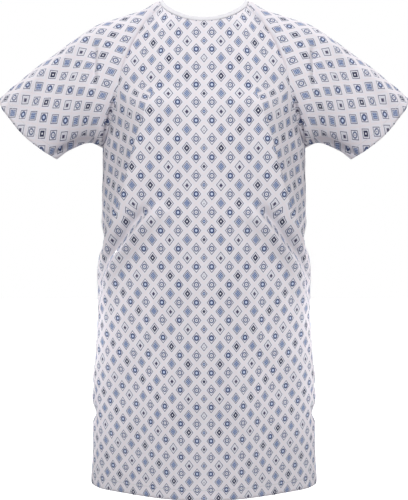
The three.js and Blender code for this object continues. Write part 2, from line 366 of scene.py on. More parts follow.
def torso_point(v, across, back):
    """across is -1 at the wearer's right seam, 0 on the centre line and 1 at the left seam."""
    end, mid, spread = torso_row(v, back)
    turn = across * spread
    towards_mid = (np.cos(turn) - np.cos(spread)) / (1 - np.cos(spread))
    return points(
        end[..., 0] * np.sin(turn) / np.sin(spread),
        mix(end[..., 1], mid[..., 1], towards_mid),
        mix(end[..., 2], mid[..., 2], towards_mid),
    )


def back_edge_across(v):
    """Where the left back edge lies on each row, as torso_point's across."""
    end, mid, spread = torso_row(v, True)
    edge = mix(BACK_EDGE_TOP, BACK_EDGE_HEM, np.clip(mid[..., 2] / HEM_Z, 0, 1))
    return np.arcsin(edge * np.sin(spread) / end[..., 0]) / spread


def shoulder_point(v, turn):
    """The sleeve over the shoulder.

    v is 0 at the neck and 1 at the armhole; turn is -1 at the front seam and 1 at the back one.
    """
    v, turn = np.broadcast_arrays(np.asarray(v, float), np.asarray(turn, float))
    top = shoulder_line(v)
    seam = np.where((turn < 0)[..., None], front_raglan(v), back_raglan(v))
    reach = np.abs(seam[..., 1])
    depth = np.where(v > 0.5, np.maximum(SLEEVE_DEPTH, reach), reach)
    full = np.where(v > 0.5, math.pi - np.arcsin(np.clip(reach / depth, 0, 1)), math.pi / 2)
    angle = np.abs(turn) * full
    down = (1 - np.cos(angle)) / (1 - np.cos(full))
    return points(
        mix(top[..., 0], seam[..., 0], down),
        np.sign(turn) * depth * np.sin(angle),
        mix(top[..., 2], seam[..., 2], down),
    )


def sleeve_point(along, turn):
    """The sleeve past the armhole.

    along is 0 at the armhole and 1 at the hem; turn goes from -1 underneath, over the top, to 1 underneath.
    """
    along, turn = np.broadcast_arrays(np.asarray(along, float), np.asarray(turn, float))
    top = sleeve_top(along)
    under = sleeve_under(along)
    centre = (top + under) / 2
    angle = turn * math.pi
    past_hem = unit(points(top[..., 2] - under[..., 2], 0, under[..., 0] - top[..., 0]))
    depth = mix(SLEEVE_DEPTH, SLEEVE_HEM_DEPTH, along) * np.sin(angle)
    bulge = SLEEVE_HEM_BULGE * along * np.sin(angle) ** 2
    around = centre + (top - centre) * np.cos(angle)[..., None]
    return around + points(0, depth, 0) + past_hem * bulge[..., None]


# ---------- camera, light and floor

def add_object(name, data):
    obj = bpy.data.objects.new(name, data)
    bpy.context.scene.collection.objects.link(obj)
    return obj


def make_camera():
    camera = add_object("camera", bpy.data.cameras.new("camera"))
    camera.location = (0, -CAMERA_DISTANCE, -VIEW_HEIGHT / 2)
    camera.rotation_euler = (math.pi / 2, 0, 0)
    camera.data.sensor_fit = "VERTICAL"
    camera.data.sensor_height = SENSOR_HEIGHT
    camera.data.lens = SENSOR_HEIGHT * CAMERA_DISTANCE / VIEW_HEIGHT
    bpy.context.scene.camera = camera


def make_room():
    """A white backdrop for the camera, which lights the cloth less than it shows."""
    world = bpy.data.worlds.new("studio")
    world.use_nodes = True
    nodes, links = world.node_tree.nodes, world.node_tree.links
    seen = nodes.new("ShaderNodeLightPath")
    bright = nodes.new("ShaderNodeMapRange")
    bright.inputs["To Min"].default_value = ROOM_LIGHT
    bright.inputs["To Max"].default_value = BACKDROP
    links.new(seen.outputs["Is Camera Ray"], bright.inputs["Value"])
    links.new(bright.outputs["Result"], nodes["Background"].inputs["Strength"])
    nodes["Background"].inputs["Color"].default_value = (1, 1, 1, 1)
    bpy.context.scene.world = world


def make_lamp(name, place, aim, size, power, spread=math.pi):
    lamp = bpy.data.lights.new(name, "AREA")
    lamp.shape = "DISK"
    lamp.size = size
    lamp.energy = power
    lamp.spread = spread
    obj = add_object(name, lamp)
    obj.location = place
    direction = np.array(aim) - np.array(place)
    level = math.hypot(direction[0], direction[1])
    pitch = math.atan2(level, -direction[2])
    heading = math.atan2(direction[1], direction[0]) - math.pi / 2
    obj.rotation_euler = (pitch, 0, heading)


def make_lamps():
    """A key light above the camera, rims and narrow low beams from both sides, and a lamp behind."""
    make_lamp("key", place=(0, -2.4, 1.4), aim=(0, 0, -0.35), size=1.0, power=KEY_POWER)
    for name, side in SIDES:
        rim = (2.0 * side, 1.0, 1.6)
        low = (2.2 * side, LOW_Y, LOW_Z)
        make_lamp(f"rim_{name}", place=rim, aim=(0, 0, -0.4), size=0.8, power=RIM_POWER)
        make_lamp(f"low_{name}", place=low, aim=(0, 0, LOW_Z), size=0.5, power=LOW_POWER, spread=LOW_SPREAD)
    make_lamp("rear", place=(0, 2.6, 1.2), aim=(0, 0, -0.5), size=1.6, power=REAR_POWER)


def make_floor():
    floor = bpy.data.meshes.new("floor")
    corners = [(x * FLOOR_HALF, y * FLOOR_HALF, 0) for x, y in ((-1, -1), (1, -1), (1, 1), (-1, 1))]
    floor.from_pydata(corners, [], [(0, 1, 2, 3)])
    obj = add_object("floor", floor)
    obj.location.z = HEM_Z - FLOOR_DROP
    obj.data.materials.append(floor_material())


def floor_material():
    """Pale studio paper, lit so that the camera sees it as white as the backdrop."""
    material = bpy.data.materials.new("floor_paper")
    material.use_nodes = True
    nodes, links = material.node_tree.nodes, material.node_tree.links
    shader = nodes["Principled BSDF"]
    shader.inputs["Base Color"].default_value = (0.62, 0.62, 0.63, 1)
    shader.inputs["Roughness"].default_value = 0.8
    shader.inputs["Emission Color"].default_value = (1, 1, 1, 1)
    seen = nodes.new("ShaderNodeLightPath")
    links.new(seen.outputs["Is Camera Ray"], shader.inputs["Emission Strength"])
    return material


def make_stage():
    scene = bpy.context.scene
    scene.view_settings.view_transform = "Standard"
    scene.cycles.denoising_prefilter = "NONE"  # keeps the fine print sharp
    make_camera()
    make_room()
    make_lamps()
    make_floor()


# ---------- cloth materials

class Value:
    """A number worked out at every point of a surface, so that a pattern can be written as sums."""

    def __init__(self, tree, socket):
        self.tree = tree
        self.socket = socket

    def step(self, operation, *others, clamp=False):
        node = self.tree.nodes.new("ShaderNodeMath")
        node.operation = operation
        node.use_clamp = clamp
        for slot, item in zip(node.inputs, (self, *others)):
            if isinstance(item, Value):
                self.tree.links.new(item.socket, slot)
            else:
                slot.default_value = item
        return Value(self.tree, node.outputs[0])

    def __add__(self, other):
        return self.step("ADD", other)

    def __sub__(self, other):
        return self.step("SUBTRACT", other)

    def __mul__(self, other):
        return self.step("MULTIPLY", other)

    def __mod__(self, other):
        return self.step("FLOORED_MODULO", other)

    def __abs__(self):
        return self.step("ABSOLUTE")

    def round(self):
        return self.step("ROUND")

    def most(self, other):
        return self.step("MAXIMUM", other)

    def flip(self):
        """1 becomes 0 and 0 becomes 1."""
        return self.step("MULTIPLY_ADD", -1, 1)

    def below(self, edge, soft):
        """1 where this is under the edge and 0 where it is over, with a soft step between."""
        return self.step("MULTIPLY_ADD", -1 / soft, edge / soft + 0.5, clamp=True)

    def near(self, middle, half_width, soft):
        return abs(self - middle).below(half_width, soft)


def uv_values(tree, layer):
    node = tree.nodes.new("ShaderNodeUVMap")
    node.uv_map = layer
    split = tree.nodes.new("ShaderNodeSeparateXYZ")
    tree.links.new(node.outputs["UV"], split.inputs[0])
    return node.outputs["UV"], Value(tree, split.outputs["X"]), Value(tree, split.outputs["Y"])


def paint(tree, under, colour, where):
    """Lay a colour over the one under it."""
    node = tree.nodes.new("ShaderNodeMix")
    node.data_type = "RGBA"
    tree.links.new(where.socket, node.inputs[0])
    for slot, item in ((node.inputs[6], under), (node.inputs[7], colour)):
        if isinstance(item, tuple):
            slot.default_value = (*item, 1)
        else:
            tree.links.new(item, slot)
    return node.outputs[2]


def noise(tree, vector, scale, detail=2):
    node = tree.nodes.new("ShaderNodeTexNoise")
    node.inputs["Scale"].default_value = scale
    node.inputs["Detail"].default_value = detail
    tree.links.new(vector, node.inputs["Vector"])
    return Value(tree, node.outputs["Fac"])


def cloth_base(name):
    material = bpy.data.materials.new(name)
    material.use_nodes = True
    shader = material.node_tree.nodes["Principled BSDF"]
    for key, value in CLOTH_FINISH.items():
        shader.inputs[key].default_value = value
    return material, material.node_tree, shader


def weave(tree, shader, place, across, down, yarn):
    """The relief of a plain weave, with slubs and faint creases."""
    over = (across * (2 * math.pi / yarn)).step("SINE")
    under = (down * (2 * math.pi / yarn)).step("SINE")
    slubs = noise(tree, place, scale=900, detail=1) * 0.6
    creases = noise(tree, place, scale=42) * 2.2
    relief = over * under * 0.5 + slubs + creases
    bump = tree.nodes.new("ShaderNodeBump")
    bump.inputs["Strength"].default_value = 0.35
    bump.inputs["Distance"].default_value = 0.0007
    tree.links.new(relief.socket, bump.inputs["Height"])
    tree.links.new(bump.outputs["Normal"], shader.inputs["Normal"])


def stitches(tree, under):
    """A line of lockstitch, placed by the edge layer.

    x runs along the line and y is the distance from it.
    """
    _, along, away = uv_values(tree, "edge")
    on_thread = ((along * (1 / STITCH)) % 1).near(0.5, 0.36, 0.1)
    thread = away.near(0, THREAD_HALF_WIDTH, 0.0004) * on_thread
    # painted shade: the needle holes between the stitches are coloured darker, as if shaded inside
    needle_hole_shade = away.near(0, NEEDLE_HOLE, 0.0005) * on_thread.flip()
    hole_shaded = paint(tree, under, HOLE_SHADE, needle_hole_shade * 0.6)
    return paint(tree, hole_shaded, THREAD_WHITE, thread)


CLOTH_FINISH = {"Roughness": 0.90, "Sheen Weight": 0.06, "Sheen Roughness": 0.45, "Specular IOR Level": 0.25}
GROUND = (0.775, 0.760, 0.820)
BLUSH = (0.80, 0.735, 0.765)
MOTTLE = (0.70, 0.69, 0.74)
OUTLINE_INK = (0.080, 0.080, 0.150)
SLATE_INK = (0.040, 0.068, 0.190)
PLUM_INK = (0.050, 0.042, 0.105)
NAVY_INK = (0.026, 0.030, 0.080)
PANE_INK = (0.440, 0.560, 0.810)
GRID_INK = (0.022, 0.052, 0.200)
HALO = (0.82, 0.82, 0.88)
HOLE_SHADE = (0.30, 0.29, 0.33)
THREAD_WHITE = (0.72, 0.72, 0.74)


def print_colour(tree, across, down):
    """The print's colour; across and down count its diamonds from the middle of one of them."""
    a = across + down
    b = across - down
    cell_a = a.round()
    cell_b = b.round()
    from_a = a - cell_a
    from_b = b - cell_b
    x = (from_a + from_b) * (PRINT_ACROSS / 2)
    y = (from_a - from_b) * (PRINT_DOWN / 2)
    sx = x * (1 / OUTLINE_HALF_WIDTH)
    sy = y * (1 / OUTLINE_HALF_HEIGHT)
    size = abs(sx) + abs(sy)  # 1 on the outline of a diamond
    radius = (x * x + y * y * RING_SQUASH).step("SQRT")

    # Four motifs take turns. The dark one is by turns a dot and a square.
    odd_a = cell_a % 2
    odd_b = cell_b % 2
    checked = odd_a.flip() * odd_b.flip()
    dark = odd_a * odd_b
    thick = odd_a * odd_b.flip()
    thin = odd_a.flip() * odd_b
    second = (cell_a % 4).below(2, 0.1).flip()

    between = abs(from_a).most(abs(from_b)).near(0.5, 0.07, 0.1)
    rising = ((sx + sy) % PANE).near(PANE / 2, PANE_HALF_LINE, 0.04)
    falling = ((sx - sy) % PANE).near(PANE / 2, PANE_HALF_LINE, 0.04)
    blot = (abs(sx) + abs(sy - DOT_DROP)).below(DOT_SIZE, 0.12)
    dot = blot.most(size.near(DOT_FRAME_SIZE, 0.06, 0.08) * 0.35) * second.flip()
    square = size.below(SQUARE_SIZE, 0.06) * size.below(SQUARE_HOLE_SIZE, 0.06).flip() * second
    layers = (
        (BLUSH, between * 0.8),
        (HALO, size.below(HALO_SIZE, 0.1) * 0.75),
        (OUTLINE_INK, size.near(1, OUTLINE_HALF_LINE, 0.05)),
        (PANE_INK, checked * size.below(CHECK_SIZE, 0.06) * 0.8),
        (GRID_INK, checked * rising.most(falling) * size.below(CHECK_LINE_SIZE, 0.05)),
        (PLUM_INK, dark * dot),
        (NAVY_INK, dark * square),
        (PANE_INK, thick * radius.below(THICK_RING_FILL, 0.001) * 0.6),
        (SLATE_INK, thick * radius.near(THICK_RING, THICK_RING_HALF_LINE, RING_SOFT)),
        (SLATE_INK, thin * radius.near(THIN_RING, THIN_RING_HALF_LINE, RING_SOFT) * 0.9),
        (PLUM_INK, thin * radius.below(THIN_RING_DOT, 0.0007) * 0.8),
    )
    colour = GROUND
    for ink, where in layers:
        colour = paint(tree, colour, ink, where)
    return colour


def printed_material(name):
    """White cotton printed all over with small diamonds."""
    material, tree, shader = cloth_base(name)
    place, u, v = uv_values(tree, "flat")
    _, across, down = uv_values(tree, "print")
    patches = noise(tree, place, scale=14, detail=4).below(0.5, 0.5)
    mottled = paint(tree, print_colour(tree, across, down), MOTTLE, patches * 0.12)
    tree.links.new(stitches(tree, mottled), shader.inputs["Base Color"])
    weave(tree, shader, place, u, v, yarn=0.0007)
    return material


def tape_material(name, colour, shade, yarn):
    """Plain white cotton, for the binding, the ties and the overlocked seams."""
    material, tree, shader = cloth_base(name)
    place, u, v = uv_values(tree, "flat")
    rib = (u * (2 * math.pi / yarn)).step("SINE") * 0.5 + 0.5
    patches = noise(tree, place, scale=60, detail=3).below(0.5, 0.4)
    tone = paint(tree, colour, shade, rib * 0.35)
    tone = paint(tree, tone, shade, patches * 0.3)
    tree.links.new(stitches(tree, tone), shader.inputs["Base Color"])
    weave(tree, shader, place, u, v, yarn)
    return material


# ---------- folds
# The chest and waist folds run along lines. A line is a list of (x, z) on the wearer's left half. It is laid
# on the panel where it has that x, so that the widths of its fold are true distances along the cloth.

def line(*through):
    z = np.array([p[1] for p in through])[::-1]
    x = np.array([p[0] for p in through])[::-1]
    return lambda at: np.interp(at, z, x)


def between_heights(z, top, bottom, fade_in, fade_out):
    """1 between the heights top and bottom, fading to 0 beyond them."""
    return smooth((top + fade_in - z) / fade_in) * smooth((z - bottom + fade_out) / fade_out)


def distance_from(line_x, flat_u, half_x, z):
    """How far each point of a grid lies beyond a line, along its row of cloth."""
    out = np.empty_like(flat_u)
    for row in range(len(flat_u)):
        order = np.argsort(half_x[row])
        out[row] = flat_u[row] - np.interp(line_x(z[row]), half_x[row][order], flat_u[row][order])
    return out


def lopsided(d, inner, outer):
    """A bell that is wide on one side and steep on the other."""
    return np.where(d < 0, bell(d, inner), bell(d, outer))


chest_fold = line(
    (0.118, -0.250), (0.140, -0.312), (0.153, -0.358), (0.164, -0.398), (0.176, -0.442), (0.1925, -0.495),
    (0.208, -0.529), (0.230, -0.575), (0.236, -0.62),
)
waist_fold = line(
    (0.100, -0.490), (0.1195, -0.515), (0.141, -0.540), (0.175, -0.584), (0.204, -0.616), (0.225, -0.656),
    (0.238, -0.72), (0.243, -0.86), (0.245, -1.0),
)


def chest_lip(flat_u, half_x, z):
    """The fold from the chest down to the side.

    Gives how far it stands forward and reaches out, and how far the cloth beyond it lies back.
    """
    there = between_heights(z, top=-0.275, bottom=-0.530, fade_in=0.055, fade_out=0.120)
    d = distance_from(chest_fold, flat_u, half_x, z) + LIP_REACH * there
    lean = np.where(d < 0, bell(d, LIP_LEAN), np.clip(1 - d / LIP_RECOVER, 0, 1))
    reach = np.where(d < 0, smooth(1 + d / LIP_REACH_RUN), 1 - smooth(d / LIP_FALL))
    sunk = between_heights(z, top=-0.440, bottom=WAIST_Z, fade_in=0.190, fade_out=0.030)
    back = smooth(d / LIP_FALL) * (1 - smooth((d - LIP_DEPTH_RUN) / LIP_DEPTH_RECOVER))
    return LIP_FORWARD * there * lean, LIP_REACH * there * reach, LIP_DEPTH * sunk * back


def waist_roll(flat_u, half_x, z):
    """The shallower fold below it: it rises to its line, drops steeply and comes back to the smooth shape."""
    there = between_heights(z, top=-0.530, bottom=-0.640, fade_in=0.050, fade_out=0.130)
    d = distance_from(waist_fold, flat_u, half_x, z)
    rise = ROLL_HEIGHT * bell(d, ROLL_WIDTH)
    drop = mix(ROLL_HEIGHT, -ROLL_DEPTH, smooth(d / ROLL_FALL))
    recover = mix(-ROLL_DEPTH, 0, smooth((d - ROLL_FALL) / ROLL_RECOVER))
    return there * np.where(d < 0, rise, np.where(d < ROLL_FALL, drop, recover))


def hem_folds(from_centre, z):
    """The front panel's wide soft folds towards the hem."""
    low = smooth((HEM_FOLDS_TOP - z) / HEM_FOLDS_FADE)
    return low * sum(height * bell(from_centre - middle, width) for middle, height, width in HEM_FOLDS)


def side_folds(from_seam, z):
    """Folds about the side seam; from_seam is the distance along the cloth, positive on the front."""
    swells = sum(out * bell(z - at, tall) * bell(from_seam, wide) for at, out, tall, wide in SIDE_SWELLS)
    wave = np.sin((z + CRUMPLE_LEAN * from_seam) * 2 * math.pi / CRUMPLE_SPACING + CRUMPLE_PHASE)
    there = bell(z - CRUMPLE_Z, width=0.055)
    return swells + CRUMPLE_HEIGHT * wave * there * bell(from_seam - 0.01, width=0.048)


def back_folds(flat_u, z):
    """Long soft folds down the back, gathered a little where the waist ties pull."""
    low = smooth((BACK_FOLDS_TOP - z) / BACK_FOLDS_FADE)
    height = BACK_FOLD_HEIGHT * low * np.sin(flat_u * 2 * math.pi / BACK_FOLD_SPACING + 0.8)
    from_drag_line = (flat_u - DRAG_START) - DRAG_SLOPE * np.abs(z - WAIST_Z)
    drag = DRAG_HEIGHT * bell(from_drag_line, DRAG_WIDTH) * smooth(flat_u / 0.05) * bell(flat_u, DRAG_REACH)
    return height + drag


def wrinkles(u, v, seed, size):
    """Small creases of worn cloth: a few crossing waves, fixed by the seed."""
    rng = np.random.default_rng(seed)
    height = 0 * u
    for length in WRINKLE_LENGTHS:
        way = rng.uniform(0.2, 1.3)  # slope in radians
        phase = rng.uniform(0, 2 * math.pi, 2)
        run = (u * math.cos(way) + v * math.sin(way)) / length
        cross = (v * math.cos(way) - u * math.sin(way)) / (2.3 * length)
        wave = 2 * math.pi * run + phase[0] + 1.3 * np.sin(2 * math.pi * cross + phase[1])
        height = height + length * (0.6 * np.sin(wave) + 0.8 * bell(np.cos(wave / 2), 0.30))
    return size * height / 0.2


# ---------- cloth meshes

def cell_corners(grid):
    """The four corners of every cell of a grid, in order round it."""
    return grid[:-1, :-1], grid[:-1, 1:], grid[1:, 1:], grid[1:, :-1]


def grid_mesh(name, place, layers, behind):
    """A mesh from a grid of points, facing away from the points behind.

    Each layer is a grid of flat places.
    """
    if np.sum(raw_normals(place) * (place - behind)) < 0:
        place = place[:, ::-1]
        layers = {key: flat[:, ::-1] for key, flat in layers.items()}
    rows, columns = place.shape[:2]
    index = np.arange(rows * columns).reshape(rows, columns)
    faces = np.stack(cell_corners(index), axis=-1)
    mesh = bpy.data.meshes.new(name)
    mesh.from_pydata(place.reshape(-1, 3).tolist(), [], faces.reshape(-1, 4).tolist())
    for key, flat in layers.items():
        corners = np.stack(cell_corners(flat), axis=2)
        mesh.uv_layers.new(name=key).data.foreach_set("uv", corners.reshape(-1).astype(np.float32))
    mesh.polygons.foreach_set("use_smooth", [True] * len(mesh.polygons))
    return add_object(name, mesh)


def raw_normals(place):
    # rows run down and columns run across, so this cross product matches the faces' own winding
    n = np.cross(np.gradient(place, axis=0), np.gradient(place, axis=1))
    return -n / np.maximum(np.linalg.norm(n, axis=-1, keepdims=True), 1e-12)


def outward(place, behind):
    n = raw_normals(place)
    return n if np.sum(n * (place - behind)) > 0 else -n


def arc(place, axes):
    """Length along each row of a grid, counting only the given axes."""
    steps = np.linalg.norm(np.diff(place[..., axes], axis=1), axis=-1)
    return np.concatenate([np.zeros((len(place), 1)), np.cumsum(steps, axis=1)], axis=1)


def flat_area(flat):
    """Area of the flat cloth under a grid of flat places."""
    a, b, c, d = cell_corners(flat)
    one, two = c - a, d - b
    return float(np.abs(one[..., 0] * two[..., 1] - one[..., 1] * two[..., 0]).sum() / 2)


def make_cloth(obj, material, thickness):
    solid = obj.modifiers.new("cloth", "SOLIDIFY")
    solid.thickness = thickness
    solid.offset = -1
    obj.data.materials.append(material)


class Sheet:
    """A panel of cloth: grids of its points, of points behind it, and of its places on the flat cloth."""

    def __init__(self, place, behind, flat, printed, edge):
        self.place = place
        self.behind = behind
        self.flat = flat
        self.printed = printed
        self.edge = edge

    def mirrored(self, side):
        turned = np.array([side, 1, 1])
        return Sheet(self.place * turned, self.behind * turned, self.flat, self.printed, self.edge)

    def strip(self, pick):
        """The part that pick takes from a grid, with its own flat places."""
        grids = (self.place, self.behind, self.flat, self.printed, self.edge)
        return Sheet(*(pick(grid) for grid in grids))

    def lowest(self, rows):
        """The strip of the lowest rows, from the bottom edge upwards."""
        return self.strip(lambda grid: grid[: -rows - 2 : -1])

    def beside_edge(self, width, columns):
        """The strip of this width along the first column, as rows that run along it."""
        along = arc(self.place, [0, 1, 2])
        wanted = np.linspace(0, width, columns)

        def pick(grid):
            out = np.empty((columns, len(grid), grid.shape[-1]))
            for row in range(len(grid)):
                for axis in range(grid.shape[-1]):
                    out[:, row, axis] = np.interp(wanted, along[row], grid[row, :, axis])
            return out

        return self.strip(pick)

    def mesh(self, name):
        layers = {"flat": self.flat, "print": self.printed, "edge": self.edge}
        return grid_mesh(name, self.place, layers, self.behind)


def turned_hem(sheet):
    """Cloth folded up behind the first row of a strip of a sheet, as far as the strip reaches."""
    place = sheet.place
    face = outward(place, sheet.behind)
    edge = unit(place[0] - place[1])
    angle = np.linspace(0, math.pi, HEM_TURN_ROWS)[:, None, None]
    fold = place[0] - face[0] * HEM_RADIUS * (1 - np.cos(angle)) + edge * HEM_RADIUS * np.sin(angle)
    inside = place[1:] - face[1:] * 2 * HEM_RADIUS

    def extend(grid):
        return np.concatenate([np.repeat(grid[:1], HEM_TURN_ROWS, axis=0), 2 * grid[:1] - grid[1:]])

    hem = np.concatenate([fold, inside])
    faces = np.concatenate([np.repeat(face[:1], HEM_TURN_ROWS, axis=0), face[1:]])
    return Sheet(hem, hem + faces, extend(sheet.flat), extend(sheet.printed), extend(sheet.edge))


def declare(flat):
    flat_area(flat)


# ---------- panels and sleeves

def rows_down(low_rows):
    """Where the rows of a piece lie: 0 at the neck, 1 at the armpit or armhole and 2 at the hem."""
    return np.concatenate([np.linspace(0, 1, TOP_ROWS + 1), np.linspace(1, 2, low_rows + 1)[1:]])[:, None]


ROW_V = rows_down(LOW_ROWS)
SLEEVE_V = rows_down(SLEEVE_ROWS)


def torso_print(flat, shift):
    """Where the print lies, counted in its diamonds. It is a little finer towards the hem."""
    below = np.clip((flat[..., 1] - FINER_FROM) / FINER_OVER, 0, None)
    across = np.abs(flat[..., 0]) * (1 + FINER_BY * below**2)
    down = flat[..., 1] + FINER_BY * FINER_OVER / 3 * below**3
    return points(across, down) / PRINT_SIZE + shift


def torso_panel(across, back):
    """The smooth shape of a torso panel, points behind it, and distances along each row from its start."""
    place = torso_point(ROW_V, across, back)
    behind = points(place[..., 0] / 2, 0, place[..., 2] - 0.03)
    return place, behind, arc(place, [0, 1])


def settle(place, behind, height, from_seam, v):
    """Push the cloth out by height, fading to nothing at the raglan seams and the neck."""
    near_raglan = np.where(v < 1, from_seam, 1)
    height = height * smooth(near_raglan / RAGLAN_FADE) * smooth(v / NECK_FADE)
    return place + outward(place, behind) * height[..., None]


def armpit_print(flat, beyond, z):
    """Flat places, with those beyond the chest fold turned about the armpit as the cloth there hangs."""
    top = smooth((ARMPIT_PRINT_TOP - z) / ARMPIT_PRINT_FADE)
    bottom = smooth((z - ARMPIT_PRINT_BOTTOM) / ARMPIT_PRINT_STEP)
    share = smooth((beyond - ARMPIT_PRINT_START) / ARMPIT_PRINT_START) * top * bottom
    across = np.abs(flat[..., 0]) - ARMPIT_PIVOT[0]
    down = flat[..., 1] - ARMPIT_PIVOT[1]
    c, s = math.cos(ARMPIT_TURN), math.sin(ARMPIT_TURN)
    turned = points(c * across + s * down, c * down - s * across) + ARMPIT_PIVOT
    upright = points(np.abs(flat[..., 0]), flat[..., 1])
    return mix(upright, turned, share[..., None])


def front_sheet():
    across = np.linspace(-1, 1, 2 * FRONT_COLUMNS + 1)[None, :]
    centre = slice(FRONT_COLUMNS, FRONT_COLUMNS + 1)
    place, behind, along = torso_panel(across, back=False)
    flat_u = along - along[:, centre]
    half_u = np.abs(flat_u)
    half_x = np.abs(place[..., 0])
    z = place[..., 2]
    from_seam = flat_u[:, -1:] - half_u
    height = hem_folds(half_u, z) + side_folds(from_seam, z)
    height += wrinkles(np.hypot(flat_u, 0.02), z, seed=3, size=BODY_WRINKLES)
    place = settle(place, behind, height, from_seam, ROW_V)

    forward, reach, back = chest_lip(half_u, half_x, z)
    fade = smooth(from_seam / FOLD_FADE)
    depth = back - forward - waist_roll(half_u, half_x, z)
    place += points(np.sign(flat_u) * reach * fade, depth * fade, 0)

    beyond = distance_from(chest_fold, half_u, half_x, z) + LIP_REACH
    along = arc(place, [0, 1])
    flat = points(along - along[:, centre], -z)
    edge = points(flat_u, z - HEM_Z - HEM_WIDTH)
    printed = torso_print(armpit_print(flat, beyond, z), FRONT_PRINT_SHIFT)
    return Sheet(place, behind, flat, printed, edge)


def back_sheet(front):
    """The wearer's left back panel, from its hemmed edge near the centre back to the front's side seam."""
    edge_across = back_edge_across(ROW_V)
    share = np.linspace(0, 1, BACK_COLUMNS + 1)[None, :]
    place, behind, flat_u = torso_panel(edge_across + (1 - edge_across) * share, back=True)
    z = place[..., 2]
    flat = points(flat_u, -z)
    from_seam = flat_u[:, -1:] - flat_u
    height = side_folds(-from_seam, z) + back_folds(flat_u, z) * smooth(from_seam / BACK_FOLD_FADE)
    height += wrinkles(flat_u, z, seed=5, size=BODY_WRINKLES)
    place = settle(place, behind, height, from_seam, ROW_V)
    below_armpit = ROW_V >= 1
    gap = (front.place[:, -1:] - place[:, -1:]) * below_armpit[..., None]
    place = place + gap * bell(from_seam, SEAM_MATCH)[..., None]
    from_hem = z - HEM_Z - HEM_WIDTH
    from_edge = flat_u - EDGE_HEM_WIDTH
    nearer = (np.abs(from_edge) < np.abs(from_hem))[..., None]
    edge = np.where(nearer, points(z, from_edge), points(flat_u, from_hem))
    return Sheet(place, behind, flat, torso_print(flat, BACK_PRINT_SHIFT), edge)


def sleeve_sheet():
    """The wearer's left sleeve, from the neck over the shoulder to its hem."""
    turn = np.linspace(-1, 1, 2 * ROUND_COLUMNS + 1)[None, :]
    shoulder = shoulder_point(SLEEVE_V[: TOP_ROWS + 1], turn)
    arm = sleeve_point(SLEEVE_V[TOP_ROWS + 1 :] - 1, turn)
    place = np.concatenate([shoulder, arm])
    v = np.broadcast_to(SLEEVE_V, place.shape[:2])
    crown = slice(ROUND_COLUMNS, ROUND_COLUMNS + 1)
    top = place[:, crown]
    under = np.where(SLEEVE_V[..., None] > 1, place[:, :1], top - [0, 0, 0.15])
    behind = (top + under) / 2 + 0 * place

    way = np.array([math.cos(SLEEVE_GRAIN), 0, -math.sin(SLEEVE_GRAIN)])
    run = place @ way
    flat_u = arc(place - run[..., None] * way, [0, 1, 2])
    flat_u -= flat_u[:, crown]
    flat = points(flat_u, run)
    from_front_seam = flat_u - flat_u[:, :1]
    from_back_seam = flat_u[:, -1:] - flat_u

    x, y, z = np.moveaxis(place, -1, 0)
    front = smooth(-y / 0.02)
    ridge = z - np.interp(x, SLEEVE_RIDGE_X, SLEEVE_RIDGE_Z)
    past_shoulder = smooth((x - 0.20) / 0.08) * front
    valley = RIDGE_VALLEY * bell(ridge + RIDGE_VALLEY_DOWN, width=0.022)
    height = past_shoulder * (RIDGE_HEIGHT * lopsided(-ridge, inner=0.030, outer=0.014) - valley)
    there = between_heights(z, top=-0.145, bottom=-0.205, fade_in=0.03, fade_out=0.02)
    height -= SHOULDER_CREASE * front * bell(x - SHOULDER_CREASE_X, width=0.007) * there
    there = between_heights(z, top=-0.27, bottom=-0.36, fade_in=0.05, fade_out=0.02)
    height -= ARMPIT_CREASE * front * bell(from_front_seam - ARMPIT_CREASE_IN, width=0.012) * there
    height += wrinkles(flat_u, run, seed=9, size=SLEEVE_WRINKLES)
    place = settle(place, behind, height, np.minimum(from_front_seam, from_back_seam), v)

    steps = np.linalg.norm(np.diff(place, axis=0), axis=-1)
    to_end = np.concatenate([np.cumsum(steps[::-1], axis=0)[::-1], np.zeros((1, place.shape[1]))])
    edge = points(flat_u, to_end - SLEEVE_HEM_WIDTH)
    return Sheet(place, behind, flat, flat / PRINT_SIZE + SLEEVE_PRINT_SHIFT, edge)


def follow(obj, name, part):
    """Attach a body piece to the shoulders; a flap or a sleeve only has its transform baked. part is "body",
    "flap" or "sleeve".
    """
    side = dict(SIDES).get(name, 0)
    if part == "flap":
        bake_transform(obj)
    elif part == "sleeve":
        start, end = side * BEND_START, side * BEND_END
        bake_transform(obj)
    else:
        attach(obj, SHOULDERS)


def finish_cloth(sheet, piece, material, name, part, nodes, thickness=CLOTH):
    obj = sheet.mesh(piece)
    make_cloth(obj, material, thickness)
    follow(obj, name, part)
    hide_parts(*nodes)
    return obj


def finish_printed(sheet, piece, name, part, *nodes):
    return finish_cloth(sheet, f"{piece}_cloth", PRINTED, name, part, nodes)


def make_panels(front, back, sleeve):
    """The cut pieces of printed cloth, each with its turned hems."""
    hem = finish_printed(turned_hem(front.lowest(HEM_ROWS)), "front_hem", "", "body", "front_hem")
    obj = finish_printed(front, "front_panel", "", "body", "front_panel")
    declare(front.flat)

    for name, side in SIDES:
        panel = back.mirrored(side)
        piece = f"back_hem_{name}"
        hem = finish_printed(turned_hem(panel.lowest(HEM_ROWS)), piece, name, "flap", piece)
        nodes = [f"back_edge_hem_upper_{name}", f"back_edge_hem_lower_{name}"]
        folded = turned_hem(panel.beside_edge(EDGE_HEM_WIDTH, EDGE_HEM_COLUMNS))
        edge_hem = finish_printed(folded, f"back_edge_hem_{name}", name, "flap", *nodes)
        nodes = [f"back_panel_upper_{name}", f"back_panel_lower_{name}"]
        obj = finish_printed(panel, f"back_panel_{name}", name, "flap", *nodes)
        declare(back.flat)

        arm = sleeve.mirrored(side)
        piece = f"sleeve_hem_{name}"
        hem = finish_printed(turned_hem(arm.lowest(SLEEVE_HEM_ROWS)), piece, name, "sleeve", piece)
        nodes = [f"sleeve_upper_{name}", f"sleeve_lower_{name}"]
        obj = finish_printed(arm, f"sleeve_{name}", name, "sleeve", *nodes)
        declare(sleeve.flat)


# ---------- binding, seams and ties

